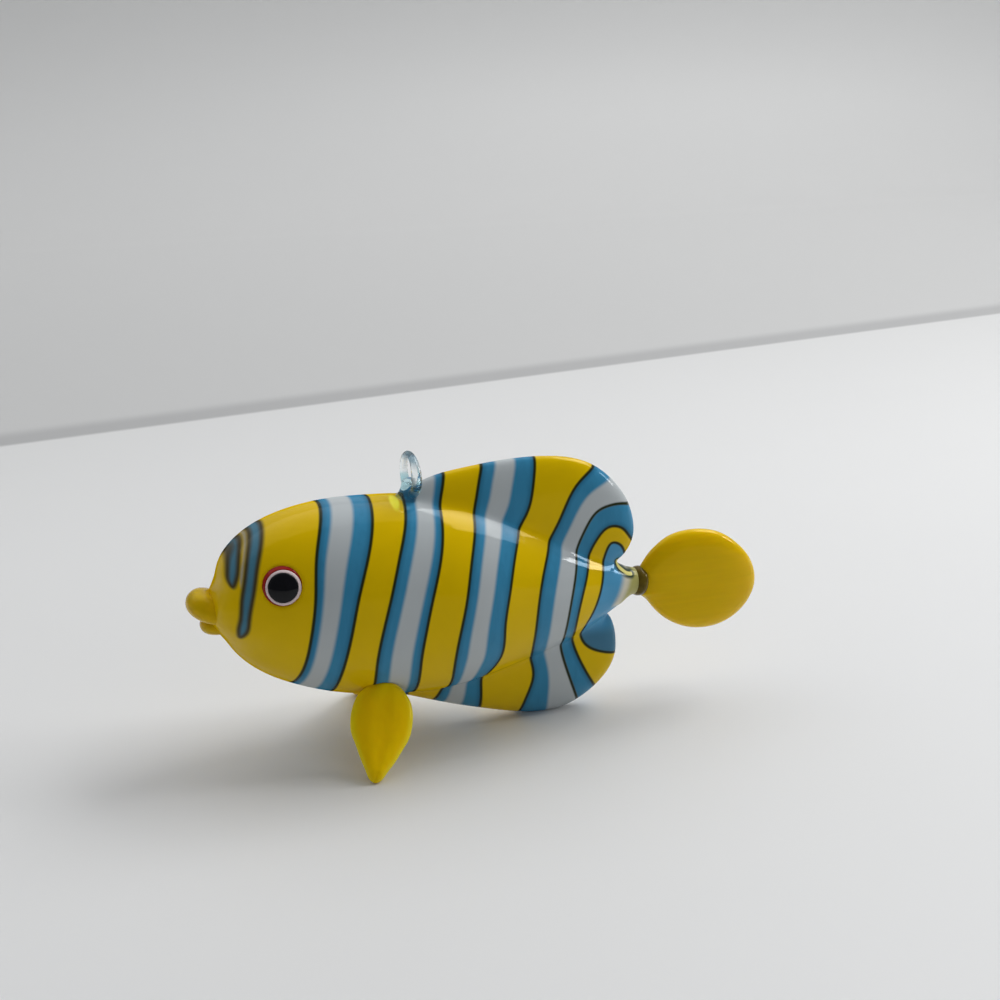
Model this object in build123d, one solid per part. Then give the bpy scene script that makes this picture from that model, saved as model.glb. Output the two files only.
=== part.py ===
from build123d import *
import os
from math import cos, radians, sin, tan

# Fish ornament of lampworked glass: a hollow yellow bulb with two pinched lobes, wrapped in
# coloured glass trails, with glass lips, eyes, belly fins, tail and a clear loop to hang it by.
# The body is laid out along its own axis with the nose at zero, X towards the tail and Z up.
# At the end every piece is tipped nose up and stood on the belly fins and the lower lobe.
# All sizes are in millimetres.

# Bulb
body_length = 82.8
body_height = 38.6
body_width = 28.0
stalk_radius = 3.0
glass_wall = 1.6

# Pinched lobes: how far each reaches from the body's axis, and how thick both are
dorsal_reach = 27.6
anal_reach = 25.5
lobe_thickness = 7.6

# Trails melted into the skin of the bulb
trail_depth = 0.6
line_width = 0.75
drop_line_width = 0.5

# Eyes, each a button of three glass dots
eye_along = 11.05
eye_up = 6.3
eye_red_radius = 3.53
eye_white_radius = 3.15
pupil_radius = 2.65
eye_proud = 1.15
eye_rim_sink = 0.45
eye_seat = 0.9
eye_layer = 0.4
eye_white_shift = 0.28

# Lips, bent rods with thick middles
upper_lip_radius = 2.5
upper_lip_spread = 3.6
lower_lip_radius = 1.45
lower_lip_spread = 2.6

# Hanging loop
loop_along = 34.9
loop_radius = 3.37
loop_wire_radius = 0.98
loop_up = 23.6
loop_turn_degrees = 6
loop_foot_radius = 2.2

# Belly fins
fin_width = 11.0
fin_thickness = 3.0
fin_root_along = 32.5
right_fin_set_back = 2.0
fin_root_out = 6.5
fin_root_sink = 1.6
fin_splay_degrees = 43
left_fin_lean_degrees = 21.4
right_fin_lean_degrees = 13.0

# Tail
collar_length = 1.1
collar_lip = 0.12
tail_length = 25.0
tail_height = 20.9
tail_thickness = 4.6
bead_radius = 1.75

# Stance
nose_up_degrees = 7
ground_flat = 0.3
cut_overrun = 1.0

# Stations of the bulb: along the length, top and bottom by half the height, side by half the width
bulb_shares = [
    (0.000, 0.04, -0.29, 0.20),
    (0.010, 0.22, -0.36, 0.34),
    (0.027, 0.40, -0.43, 0.49),
    (0.058, 0.575, -0.55, 0.64),
    (0.106, 0.73, -0.705, 0.78),
    (0.175, 0.86, -0.845, 0.90),
    (0.270, 0.955, -0.955, 0.98),
    (0.390, 1.00, -1.00, 1.00),
    (0.510, 0.97, -0.98, 0.98),
    (0.630, 0.86, -0.86, 0.87),
    (0.740, 0.69, -0.68, 0.70),
    (0.840, 0.51, -0.49, 0.52),
    (0.910, 0.38, -0.29, 0.36),
]
stalk_lift_share = 0.12
neck_place_share = 0.96
neck_lift_share = 0.8
neck_height_share = 1.37
neck_width_share = 1.3

# Stations of the lobes: along the body, top and bottom by the lobe's reach, side by its thickness
dorsal_shares = [
    (0.39, 0.65, 0.22, 0.40),
    (0.42, 0.745, 0.18, 0.62),
    (0.46, 0.825, 0.16, 0.78),
    (0.54, 0.905, 0.15, 0.88),
    (0.63, 0.965, 0.13, 0.92),
    (0.73, 1.00, 0.13, 0.92),
    (0.80, 0.99, 0.15, 0.90),
    (0.86, 0.93, 0.17, 0.85),
    (0.91, 0.82, 0.20, 0.80),
    (0.947, 0.69, 0.26, 0.69),
    (0.965, 0.57, 0.35, 0.48),
    (0.971, 0.50, 0.43, 0.24),
]
anal_shares = [
    (0.33, -0.24, -0.66, 0.50),
    (0.40, -0.20, -0.77, 0.75),
    (0.48, -0.16, -0.83, 0.90),
    (0.55, -0.14, -0.885, 0.98),
    (0.64, -0.12, -0.945, 1.00),
    (0.73, -0.10, -0.99, 1.00),
    (0.80, -0.10, -1.00, 0.98),
    (0.86, -0.10, -0.96, 0.92),
    (0.91, -0.13, -0.86, 0.82),
    (0.947, -0.20, -0.73, 0.70),
    (0.965, -0.33, -0.61, 0.50),
    (0.972, -0.42, -0.52, 0.23),
]

# Lines where the trails change colour, seen from the side, from the back of the fish to its
# belly: along the length and up by half the height. Each runs on past the glass at both ends,
# the way given before and after its points.
up_share = (0, 1)
down_share = (0, -1)
aft_share = (1, 0)
band_1_front_shares = [
    up_share,
    (0.239, 1.09), (0.222, 0.88), (0.205, 0.60), (0.203, 0.26), (0.200, -0.16), (0.196, -0.47),
    (0.185, -0.75), (0.169, -0.98),
    down_share,
]
band_1_rear_shares = [
    up_share,
    (0.338, 1.09), (0.330, 0.90), (0.314, 0.62), (0.295, 0.28), (0.285, -0.10), (0.279, -0.47),
    (0.275, -0.78), (0.272, -1.04),
    down_share,
]
band_2_front_shares = [
    up_share,
    (0.413, 1.09), (0.401, 0.88), (0.384, 0.65), (0.365, 0.28), (0.353, -0.05), (0.350, -0.41),
    (0.357, -0.68), (0.367, -1.06),
    down_share,
]
band_2_rear_shares = [
    up_share,
    (0.500, 1.32), (0.490, 1.06), (0.479, 0.71), (0.457, 0.23), (0.449, -0.10), (0.449, -0.39),
    (0.457, -0.67), (0.466, -1.11),
    down_share,
]
band_3_front_shares = [
    up_share,
    (0.588, 1.42), (0.575, 1.22), (0.565, 0.91), (0.548, 0.63), (0.535, 0.21), (0.527, -0.23),
    (0.531, -0.52), (0.539, -0.75), (0.539, -0.98), (0.522, -1.22),
    down_share,
]
band_3_rear_shares = [
    up_share,
    (0.705, 1.48), (0.700, 1.19), (0.690, 0.90), (0.658, 0.62), (0.640, 0.27), (0.636, -0.08),
    (0.643, -0.46), (0.629, -0.73), (0.635, -0.97), (0.647, -1.27),
    down_share,
]
band_4_front_shares = [
    (0.6, 1),
    (0.856, 1.37), (0.802, 1.17), (0.777, 0.92), (0.758, 0.69), (0.732, 0.46), (0.717, 0.11),
    (0.721, -0.25), (0.732, -0.51), (0.757, -0.81), (0.752, -1.05), (0.745, -1.35),
    down_share,
]
band_4_middle_shares = [
    aft_share,
    (0.965, 0.95), (0.925, 0.99), (0.891, 0.98), (0.861, 0.92), (0.841, 0.78), (0.821, 0.47),
    (0.806, 0.16), (0.803, -0.16), (0.812, -0.45), (0.838, -0.75), (0.894, -1.21),
    (0.4, -1),
]
band_4_rear_shares = [
    aft_share,
    (0.983, 0.53), (0.954, 0.65), (0.928, 0.75), (0.896, 0.76), (0.871, 0.63), (0.854, 0.41),
    (0.836, 0.16), (0.829, -0.13), (0.837, -0.36), (0.870, -0.67), (0.940, -1.08),
    (0.6, -1),
]
stalk_front_shares = [
    aft_share,
    (0.978, 0.36), (0.954, 0.45), (0.931, 0.57), (0.911, 0.59), (0.900, 0.46), (0.893, 0.28),
    (0.884, 0.10), (0.870, -0.12), (0.860, -0.32), (0.879, -0.50), (0.913, -0.58), (0.971, -0.63),
    aft_share,
]

# Where each band turns from blue to white and back, across its width from front to rear
band_1_white_shares = (0.20, 0.60)
band_2_white_shares = (0.32, 0.77)
band_3_white_shares = (0.25, 0.60)
band_4_white_share = 0.47

# Outlines of the drops that run down the forehead, and of the white trail between them
drop_1_shares = [
    up_share,
    (0.041, 0.53), (0.031, 0.44), (0.027, 0.33), (0.030, 0.25), (0.039, 0.22), (0.046, 0.27),
    (0.051, 0.37), (0.054, 0.47), (0.065, 0.63),
    up_share,
]
drop_2_shares = [
    up_share,
    (0.076, 0.67), (0.065, 0.50), (0.059, 0.33), (0.054, 0.12), (0.053, -0.06), (0.052, -0.19),
    (0.059, -0.26), (0.068, -0.22), (0.075, -0.05), (0.081, 0.21), (0.088, 0.44), (0.099, 0.63),
    (0.107, 0.77),
    up_share,
]
brow_white_shares = [
    up_share,
    (0.065, 0.63), (0.056, 0.45), (0.051, 0.31), (0.054, 0.24), (0.059, 0.33), (0.065, 0.50),
    (0.076, 0.67),
    up_share,
]

# Stations of a belly fin, root to tip: along its length, half width, half thickness
fin_shares = [
    (0.00, 0.50, 0.80),
    (0.10, 0.74, 0.95),
    (0.22, 0.95, 1.00),
    (0.36, 1.00, 1.00),
    (0.52, 0.88, 0.95),
    (0.68, 0.64, 0.85),
    (0.82, 0.39, 0.72),
    (0.93, 0.21, 0.60),
    (1.00, 0.10, 0.36),
]

# Stations of the tail, root to tip: along its length, middle and half height by its height,
# half thickness by its thickness
tail_shares = [
    (0.044, 0.170, 0.225, 0.58),
    (0.104, 0.180, 0.300, 0.55),
    (0.183, 0.174, 0.384, 0.53),
    (0.303, 0.154, 0.458, 0.51),
    (0.462, 0.131, 0.500, 0.50),
    (0.622, 0.111, 0.486, 0.49),
    (0.781, 0.087, 0.406, 0.46),
    (0.900, 0.077, 0.289, 0.38),
    (0.968, 0.073, 0.165, 0.27),
    (1.000, 0.070, 0.065, 0.14),
]

# Thickness along a lip, from one corner of the mouth to the other
lip_shares = [(0.0, 0.48), (0.25, 0.84), (0.5, 1.0), (0.75, 0.84), (1.0, 0.48)]
# Corner and middle of each lip: ahead of or behind the nose and up, by half the body's height
upper_lip_corner_shares = (0.057, -0.238)
upper_lip_middle_shares = (-0.093, -0.062)
lower_lip_corner_shares = (0.093, -0.285)
lower_lip_middle_shares = (0.0, -0.296)

half_height = body_height / 2
half_width = body_width / 2


def lofted_form(stations, inset=0.0):
    """A smooth form through upright ellipses, each given by its place along X, top, bottom and side."""
    sections = []
    for along, top, bottom, side in stations:
        plane = Plane(origin=(along, 0, (top + bottom) / 2), x_dir=(0, 1, 0), z_dir=(1, 0, 0))
        sections.append(plane * Ellipse(side - inset, (top - bottom) / 2 - inset))
    return loft(sections)


def bulb_form(inset=0.0):
    """The bulb and its stalk. An inset form is the space inside, which runs out at the stalk's end."""
    stations = []
    for along, top, bottom, side in bulb_shares:
        stations.append((along * body_length, top * half_height, bottom * half_height,
                         side * half_width))
    stations[0] = (inset, *stations[0][1:])
    lift = stalk_lift_share * half_height
    neck_lift = neck_lift_share * lift
    neck_rise = neck_height_share * stalk_radius
    stations.append((neck_place_share * body_length, neck_lift + neck_rise, neck_lift - neck_rise,
                     neck_width_share * stalk_radius))
    end = body_length + cut_overrun if inset else body_length
    stations.append((end, lift + stalk_radius, lift - stalk_radius, stalk_radius))
    return lofted_form(stations, inset)


def lobe_form(shares, reach, inset=0.0):
    """A lobe pinched out of the bulb above or below the body's axis."""
    stations = []
    for along, top, bottom, side in shares:
        stations.append((along * body_length, top * reach, bottom * reach,
                         side * lobe_thickness / 2))
    stations[-1] = (stations[-1][0] - inset, *stations[-1][1:])
    return lofted_form(stations, inset)


def blown_form(inset=0.0):
    """The bulb with both lobes."""
    dorsal = lobe_form(dorsal_shares, dorsal_reach, inset)
    anal = lobe_form(anal_shares, anal_reach, inset)
    return bulb_form(inset) + dorsal + anal


def side_line(shares):
    """A line of the side view, as its way out, its points and its other way out."""
    points = [Vector(along * body_length, up * half_height) for along, up in shares[1:-1]]
    return Vector(*shares[0]), points, Vector(*shares[-1])


def shifted(line, distance):
    """The line moved to its own left by a distance, looking along it."""
    first_way, points, last_way = line
    moved = []
    for place, point in enumerate(points):
        before = points[max(place - 1, 0)]
        after = points[min(place + 1, len(points) - 1)]
        run = (after - before).normalized()
        moved.append(point + Vector(-run.Y, run.X) * distance)
    return first_way, moved, last_way


def between(front, rear, share):
    """The line that lies a share of the way from the front line to the rear one."""
    points = [first + (second - first) * share for first, second in zip(front[1], rear[1])]
    return front[0] + (rear[0] - front[0]) * share, points, front[2] + (rear[2] - front[2]) * share


def run_out(line):
    """Where the line ends at each side, well clear of the glass."""
    first_way, points, last_way = line
    return points[0] + first_way * body_height, points[-1] + last_way * body_height


def sheet(edges):
    """The part of space whose side view lies within the edges, through the whole width."""
    return extrude(Plane.XZ * make_face(edges), half_width + cut_overrun, both=True)


def strip(front, rear):
    """The space between two lines of the side view."""
    front_first, front_last = run_out(front)
    rear_first, rear_last = run_out(rear)
    return sheet([
        Line(front_first, front[1][0]), Spline(*front[1]), Line(front[1][-1], front_last),
        Line(front_last, rear_last),
        Line(rear_last, rear[1][-1]), Spline(*rear[1]), Line(rear[1][0], rear_first),
        Line(rear_first, front_first),
    ])


def closed_strip(line):
    """The space within a line that turns back on itself."""
    first, last = run_out(line)
    return sheet([Line(first, line[1][0]), Spline(*line[1]), Line(line[1][-1], last), Line(last, first)])


def three_colour_band(name, front, rear, white_shares):
    """A band of five trails: dark line, blue, white, blue, dark line."""
    blue_start = shifted(front, line_width / 2)
    blue_end = shifted(rear, -line_width / 2)
    white_start = between(blue_start, blue_end, white_shares[0])
    white_end = between(blue_start, blue_end, white_shares[1])
    outer_front = shifted(front, -line_width / 2)
    outer_rear = shifted(rear, line_width / 2)
    strips = {
        f"{name}_dark_front": (outer_front, blue_start),
        f"{name}_blue_front": (blue_start, white_start),
        f"{name}_white": (white_start, white_end),
        f"{name}_blue_rear": (white_end, blue_end),
        f"{name}_dark_rear": (blue_end, outer_rear),
    }
    return strips, strip(outer_front, outer_rear)


def tail_band():
    """The widest band and the blue of the stalk, parted by dark lines and a sliver of yellow."""
    front = side_line(band_4_front_shares)
    middle = side_line(band_4_middle_shares)
    rear = side_line(band_4_rear_shares)
    blue_start = shifted(front, line_width / 2)
    middle_front = shifted(middle, -line_width / 2)
    middle_rear = shifted(middle, line_width / 2)
    blue_end = shifted(rear, -line_width / 2)
    white_start = between(blue_start, middle_front, band_4_white_share)
    outer_front = shifted(front, -line_width / 2)
    outer_rear = shifted(rear, line_width / 2)
    strips = {
        "band_4_dark_front": (outer_front, blue_start),
        "band_4_blue_front": (blue_start, white_start),
        "band_4_white": (white_start, middle_front),
        "band_4_dark_middle": (middle_front, middle_rear),
        "band_4_blue_rear": (middle_rear, blue_end),
        "band_4_dark_rear": (blue_end, outer_rear),
    }
    return strips, strip(outer_front, outer_rear)


def eye_plane(form):
    """A plane on the left skin at the middle of the eye, with Z out of the head and Y up."""
    sight = Axis((eye_along, 0, eye_up), (0, -1, 0))
    point, normal = form.find_intersection_points(sight)[-1]
    if normal.Y > 0:
        normal = normal * -1
    return Plane(origin=point, x_dir=(1, 0, 0), z_dir=normal)


def disc_space(radius, floor, middle=(0, 0)):
    """The space over a round dot from its floor up past the top of the eye."""
    rise = eye_proud + cut_overrun - floor
    return Pos(*middle, floor) * Cylinder(radius, rise, align=(Align.CENTER, Align.CENTER, Align.MIN))


def eye_dots():
    """Red, white and black dots melted into one dome, laid out on the XY plane."""
    cap = eye_proud + eye_rim_sink
    dome_radius = (eye_red_radius**2 + cap**2) / (2 * cap)
    dome = Pos(0, 0, eye_proud - dome_radius) * Sphere(dome_radius)
    shift = (eye_white_shift, -eye_white_shift)
    red_space = disc_space(eye_red_radius, -eye_seat)
    white_space = disc_space(eye_white_radius, eye_layer - eye_seat, shift)
    pupil_space = disc_space(pupil_radius, 2 * eye_layer - eye_seat, shift)
    dots = {
        "red": (dome & red_space) - white_space,
        "white": (dome & white_space) - pupil_space,
        "pupil": dome & pupil_space,
    }
    return dots, red_space


def lip(corner_shares, middle_shares, spread, radius):
    """A bent glass rod, thick at the middle, from one corner of the mouth to the other."""
    corner_x, corner_z = (share * half_height for share in corner_shares)
    middle_x, middle_z = (share * half_height for share in middle_shares)
    bend = ThreePointArc((corner_x, -spread, corner_z), (middle_x, 0, middle_z),
                         (corner_x, spread, corner_z))
    sections = []
    for place_share, radius_share in lip_shares:
        plane = Plane(origin=bend @ place_share, z_dir=bend % place_share)
        sections.append(plane * Circle(radius * radius_share))
    rod = loft(sections)
    end_radius = radius * lip_shares[0][1]
    for end in (bend @ 0, bend @ 1):
        rod += Pos(*end) * Sphere(end_radius)
    return rod


def hanging_loop(form):
    """A clear ring across the body, on a flared foot melted to the back."""
    turn = radians(loop_turn_degrees)
    ring = Plane(origin=(0, 0, 0), x_dir=(0, 0, 1), z_dir=(cos(turn), sin(turn), 0)) * Torus(
        loop_radius, loop_wire_radius)
    foot_top = loop_wire_radius - loop_radius
    foot_height = loop_foot_radius + loop_wire_radius
    foot = Pos(0, 0, foot_top) * Cone(loop_foot_radius, loop_wire_radius, foot_height,
                                      align=(Align.CENTER, Align.CENTER, Align.MAX))
    return Pos(loop_along, 0, loop_up) * (ring + foot) - form


def belly_fin(root, drop, lean_degrees):
    """A leaf of glass from its root on the belly down to the ground, drop below the root."""
    way = Vector(-tan(radians(lean_degrees)), -tan(radians(fin_splay_degrees)), -1)
    length = drop * way.length + fin_root_sink
    start = Plane(origin=root - way.normalized() * fin_root_sink, x_dir=(1, 0, 0),
                  z_dir=way.normalized())
    sections = []
    for along, wide, thick in fin_shares:
        level = start.offset(along * length)
        sections.append(level * Ellipse(wide * fin_width / 2, thick * fin_thickness / 2))
    return loft(sections)


def tail_fin():
    """A pressed paddle that swells from the collar and thins to its rim."""
    lift = stalk_lift_share * half_height
    start = body_length + collar_length
    stations = [(start, lift + stalk_radius, lift - stalk_radius, stalk_radius)]
    for along, middle, rise, thick in tail_shares:
        stations.append((start + along * tail_length, (middle + rise) * tail_height,
                         (middle - rise) * tail_height, thick * tail_thickness))
    return lofted_form(stations)


def collar():
    """The dark ring of glass where the tail joins the stalk."""
    middle = (body_length + collar_length / 2, 0, stalk_lift_share * half_height)
    disc = Pos(*middle) * Rot(0, 90, 0) * Cylinder(stalk_radius + collar_lip, collar_length)
    rims = disc.edges().filter_by(GeomType.CIRCLE)
    return fillet(rims, collar_length / 3)


def stalk_bead(space):
    """The clear bead that closes the stalk."""
    middle = (body_length - bead_radius, 0, stalk_lift_share * half_height)
    bead = Pos(*middle) * Sphere(bead_radius)
    plug = Pos(*middle) * Rot(0, 90, 0) * Cylinder(
        bead_radius, bead_radius, align=(Align.CENTER, Align.CENTER, Align.MIN))
    return (bead + plug) & space


outer = blown_form()
skin = outer - blown_form(trail_depth)
cavity = bulb_form(glass_wall)
shell = outer - cavity
pieces = {}

# Bands of trails round the body
bands = [
    three_colour_band("band_1", side_line(band_1_front_shares), side_line(band_1_rear_shares),
                      band_1_white_shares),
    three_colour_band("band_2", side_line(band_2_front_shares), side_line(band_2_rear_shares),
                      band_2_white_shares),
    three_colour_band("band_3", side_line(band_3_front_shares), side_line(band_3_rear_shares),
                      band_3_white_shares),
    tail_band(),
]
for strips, whole in bands:
    for name, (front, rear) in strips.items():
        pieces[name] = skin & strip(front, rear)
    shell -= skin & whole

# Blue of the stalk, behind its dark line
stalk_line = side_line(stalk_front_shares)
stalk_outer = closed_strip(shifted(stalk_line, -line_width / 2))
stalk_inner = closed_strip(shifted(stalk_line, line_width / 2))
pieces["stalk_dark"] = (skin & stalk_outer) - stalk_inner
pieces["stalk_blue"] = skin & stalk_inner
shell -= skin & stalk_outer

# Drops over the forehead, each blue with a dark edge, and the white trail between them
for name, shares in (("brow_drop_short", drop_1_shares), ("brow_drop_long", drop_2_shares)):
    outline = side_line(shares)
    drop_space = closed_strip(outline)
    blue_space = closed_strip(shifted(outline, drop_line_width))
    pieces[f"{name}_edge"] = (skin & drop_space) - blue_space
    pieces[f"{name}_blue"] = skin & blue_space
    shell -= skin & drop_space
white = skin & closed_strip(side_line(brow_white_shares))
for shares in (drop_1_shares, drop_2_shares):
    white -= closed_strip(side_line(shares))
pieces["brow_white"] = white
shell -= white

# Eyes
socket = eye_plane(bulb_form())
dots, pocket = eye_dots()
shell -= socket.location * pocket
shell -= mirror(socket.location * pocket, about=Plane.XZ)
for name, dot in dots.items():
    pieces[f"left_eye_{name}"] = socket.location * dot
    pieces[f"right_eye_{name}"] = mirror(socket.location * dot, about=Plane.XZ)

# Lips
upper_lip = lip(upper_lip_corner_shares, upper_lip_middle_shares, upper_lip_spread, upper_lip_radius)
lower_lip = lip(lower_lip_corner_shares, lower_lip_middle_shares, lower_lip_spread, lower_lip_radius)
pieces["upper_lip"] = upper_lip - outer
pieces["lower_lip"] = lower_lip - outer - upper_lip

# Loop, tail and the bead in the stalk
pieces["hanging_loop"] = hanging_loop(outer)
pieces["tail_collar"] = collar()
pieces["tail_fin"] = tail_fin()
pieces["stalk_bead"] = stalk_bead(cavity)
pieces["body_shell"] = shell

# Tip the fish nose up and find the ground under its lower lobe
stance = Rot(0, nose_up_degrees, 0)
tipped = {name: stance * piece for name, piece in pieces.items()}
tipped_form = stance * outer
ground = tipped_form.bounding_box().min.Z + ground_flat

# Belly fins reach the ground from the skin of the belly. The right one is set a little further
# back and leans less.
fins = (("left", 0, left_fin_lean_degrees), ("right", right_fin_set_back, right_fin_lean_degrees))
for side, set_back, lean_degrees in fins:
    belly_sight = Axis((fin_root_along + set_back, -fin_root_out, 0), (0, 0, -1))
    belly_point = outer.find_intersection_points(belly_sight)[-1][0]
    fin_root = (stance * Pos(*belly_point)).position
    fin = belly_fin(fin_root, fin_root.Z - ground + ground_flat, lean_degrees) - tipped_form
    tipped[f"{side}_belly_fin"] = mirror(fin, about=Plane.XZ) if side == "right" else fin

# Cut the feet flat on the ground and put the origin under the middle of the fish
boxes = [piece.bounding_box() for piece in tipped.values()]
middle_x = (min(box.min.X for box in boxes) + max(box.max.X for box in boxes)) / 2
under_ground = Pos(middle_x, 0, ground) * Box(
    2 * body_length, 2 * body_height, body_height, align=(Align.CENTER, Align.CENTER, Align.MAX))
os.makedirs("parts", exist_ok=True)
for name, piece in tipped.items():
    standing = piece
    if piece.bounding_box().min.Z < ground:
        standing = piece - under_ground
    export_step(Pos(-middle_x, 0, -ground) * standing, f"parts/{name}.step")
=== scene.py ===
import math

import bmesh
import bpy
import numpy as np
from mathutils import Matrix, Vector


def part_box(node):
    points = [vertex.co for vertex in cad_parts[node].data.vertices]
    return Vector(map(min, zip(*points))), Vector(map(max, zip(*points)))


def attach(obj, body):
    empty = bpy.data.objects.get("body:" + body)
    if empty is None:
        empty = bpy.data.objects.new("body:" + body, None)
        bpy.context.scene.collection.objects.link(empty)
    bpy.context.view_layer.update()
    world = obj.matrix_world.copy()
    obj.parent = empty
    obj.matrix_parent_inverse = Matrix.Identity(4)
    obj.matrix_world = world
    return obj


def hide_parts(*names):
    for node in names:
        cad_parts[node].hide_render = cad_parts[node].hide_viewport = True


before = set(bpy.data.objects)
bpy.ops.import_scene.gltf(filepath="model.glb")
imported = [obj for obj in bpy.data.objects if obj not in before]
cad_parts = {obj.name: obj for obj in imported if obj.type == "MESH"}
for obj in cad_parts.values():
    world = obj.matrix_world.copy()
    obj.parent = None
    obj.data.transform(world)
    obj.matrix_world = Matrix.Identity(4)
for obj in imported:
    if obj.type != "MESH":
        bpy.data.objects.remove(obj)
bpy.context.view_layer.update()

# Table and light: a white table that runs up into a pale wall far behind. A nearer wall, with a painted
# shadow in the gap at its foot, is laid on it as colour, so that nothing hides the fish from behind. The
# table is painted darker towards the back, as painted shade. Broad daylight falls from above the tail, a
# low window shines in from the same side, and the room fills in the rest.
table_reach = 1.6
table_front = -0.9
wall_distance = 0.62
wall_height = 0.45
sweep_radius = 0.12
sweep_steps = 16
table_colour = (0.77, 0.77, 0.765)
shaded_far_table_colour = (0.64, 0.64, 0.635)
table_fade = (0.07, 0.34)
foot_shadow_colour = (0.43, 0.43, 0.43)
wall_colour = (0.56, 0.56, 0.555)
far_wall_colour = (0.65, 0.65, 0.645)
wall_slant = 0.143
foot_start = 0.2129
foot_end = 0.2234
foot_front_blur = 0.0015
foot_rear_blur = (0.0040, 0.0060)
fish_middle = (0, 0, 0.03)
room_front_colour = (0.13, 0.14, 0.15)
room_rear_colour = (0.46, 0.47, 0.49)
camera_place = (-0.07383, -0.24954, 0.14534)
camera_tilt = math.radians(90 - 20.96)
camera_turn = math.radians(-17.05)


def new_finish(name):
    """An empty finish with its nodes and its shader."""
    finish = bpy.data.materials.new(name)
    finish.use_nodes = True
    tree = finish.node_tree
    return finish, tree, tree.nodes["Principled BSDF"]


def add_node(tree, kind, inputs=(), **settings):
    """A node whose inputs are numbers, colours or the outputs of other nodes."""
    node = tree.nodes.new("ShaderNode" + kind)
    for setting, value in settings.items():
        setattr(node, setting, value)
    for socket, value in dict(inputs).items():
        if isinstance(value, bpy.types.NodeSocket):
            tree.links.new(value, node.inputs[socket])
        else:
            node.inputs[socket].default_value = value
    return node


def blend_colours(tree, share, first, second):
    """The second colour laid over the first by a share."""
    first, second = (c if isinstance(c, bpy.types.NodeSocket) else (*c, 1) for c in (first, second))
    return add_node(tree, "Mix", {0: share, 6: first, 7: second}, data_type="RGBA").outputs[2]


def rise(tree, value, low, high):
    """Goes smoothly from 0 to 1 as the value goes from low to high, or the other way round."""
    inputs = {"Value": value, "From Min": low, "From Max": high}
    return add_node(tree, "MapRange", inputs, interpolation_type="SMOOTHSTEP").outputs[0]


def mottle(tree, size, stretch=(1, 1, 1)):
    """Cloudy variation from 0 to 1, in lumps of a given size, drawn out by a stretch along each axis."""
    place = add_node(tree, "TexCoord").outputs["Object"]
    scale = tuple(1 / (size * length) for length in stretch)
    drawn = add_node(tree, "Mapping", {"Vector": place, "Scale": scale}).outputs[0]
    return add_node(tree, "TexNoise", {"Vector": drawn, "Scale": 1.0, "Detail": 3.0}).outputs[0]


def add_mesh(name, points, faces):
    """A smooth mesh object."""
    mesh = bpy.data.meshes.new(name)
    mesh.from_pydata([tuple(p) for p in points], [], [tuple(f) for f in faces])
    mesh.polygons.foreach_set("use_smooth", [True] * len(mesh.polygons))
    item = bpy.data.objects.new(name, mesh)
    bpy.context.scene.collection.objects.link(item)
    return item


table_finish, tree, shader = new_finish("white_table")
shader.inputs["Roughness"].default_value = 0.55
spot = add_node(tree, "SeparateXYZ", {0: add_node(tree, "TexCoord").outputs["Object"]}).outputs
depth = add_node(tree, "Math", {0: spot["X"], 1: -wall_slant, 2: spot["Y"]},
                 operation="MULTIPLY_ADD").outputs[0]
white = blend_colours(tree, mottle(tree, 0.05), table_colour, [0.985 * c for c in table_colour])
# Painted shade: the table grows darker towards the back, and a dark strip is painted at the wall's foot as
# the shadow in the gap there.
white = blend_colours(tree, rise(tree, spot["Y"], *table_fade), white, shaded_far_table_colour)
at_foot = rise(tree, depth, foot_start - foot_front_blur, foot_start + foot_front_blur)
at_wall = rise(tree, depth, foot_end - foot_rear_blur[0], foot_end + foot_rear_blur[1])
wall = blend_colours(tree, rise(tree, depth, foot_end, wall_distance), wall_colour, far_wall_colour)
laid_on = blend_colours(tree, at_wall, blend_colours(tree, at_foot, white, foot_shadow_colour), wall)
tree.links.new(laid_on, shader.inputs["Base Color"])
sweep = [(table_front, 0.0), (wall_distance - sweep_radius, 0.0)]
for step in range(1, sweep_steps):
    turn = math.pi / 2 * step / sweep_steps
    sweep.append((wall_distance - sweep_radius * (1 - math.sin(turn)),
                  sweep_radius * (1 - math.cos(turn))))
sweep += [(wall_distance, sweep_radius), (wall_distance, wall_height)]
points = [(side * table_reach, y, z) for y, z in sweep for side in (-1, 1)]
faces = [(2 * i, 2 * i + 1, 2 * i + 3, 2 * i + 2) for i in range(len(sweep) - 1)]
table = add_mesh("table", points, faces)
table.data.materials.append(table_finish)


def add_lamp(name, place, target, size, watts, glossy=True):
    """A soft square of light that faces a target."""
    lamp = bpy.data.lights.new(name, "AREA")
    lamp.shape = "RECTANGLE"
    lamp.size, lamp.size_y = size
    lamp.energy = watts
    item = bpy.data.objects.new(name, lamp)
    item.location = place
    item.rotation_euler = (Vector(target) - Vector(place)).to_track_quat("-Z", "Y").to_euler()
    item.visible_camera = False
    item.visible_glossy = glossy
    bpy.context.scene.collection.objects.link(item)


add_lamp("window", (0.65, 0.14, 0.76), fish_middle, (0.60, 0.45), 4.55)
add_lamp("side_window", (0.72, -0.06, 0.30), fish_middle, (0.11, 0.16), 0.72)
add_lamp("ceiling", (-0.10, 0.32, 0.70), (-0.10, 0.32, 0), (1.6, 0.74), 2.9)
add_lamp("fill", (0.30, -0.60, 0.36), fish_middle, (0.50, 0.40), 0.38, glossy=False)

world = bpy.data.worlds.new("room")
world.use_nodes = True
bpy.context.scene.world = world
room = world.node_tree
way = add_node(room, "SeparateXYZ", {0: add_node(room, "TexCoord").outputs["Generated"]}).outputs["Y"]
room_light = blend_colours(room, rise(room, way, -0.5, 0.6), room_front_colour, room_rear_colour)
room.links.new(room_light, room.nodes["Background"].inputs["Color"])

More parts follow.
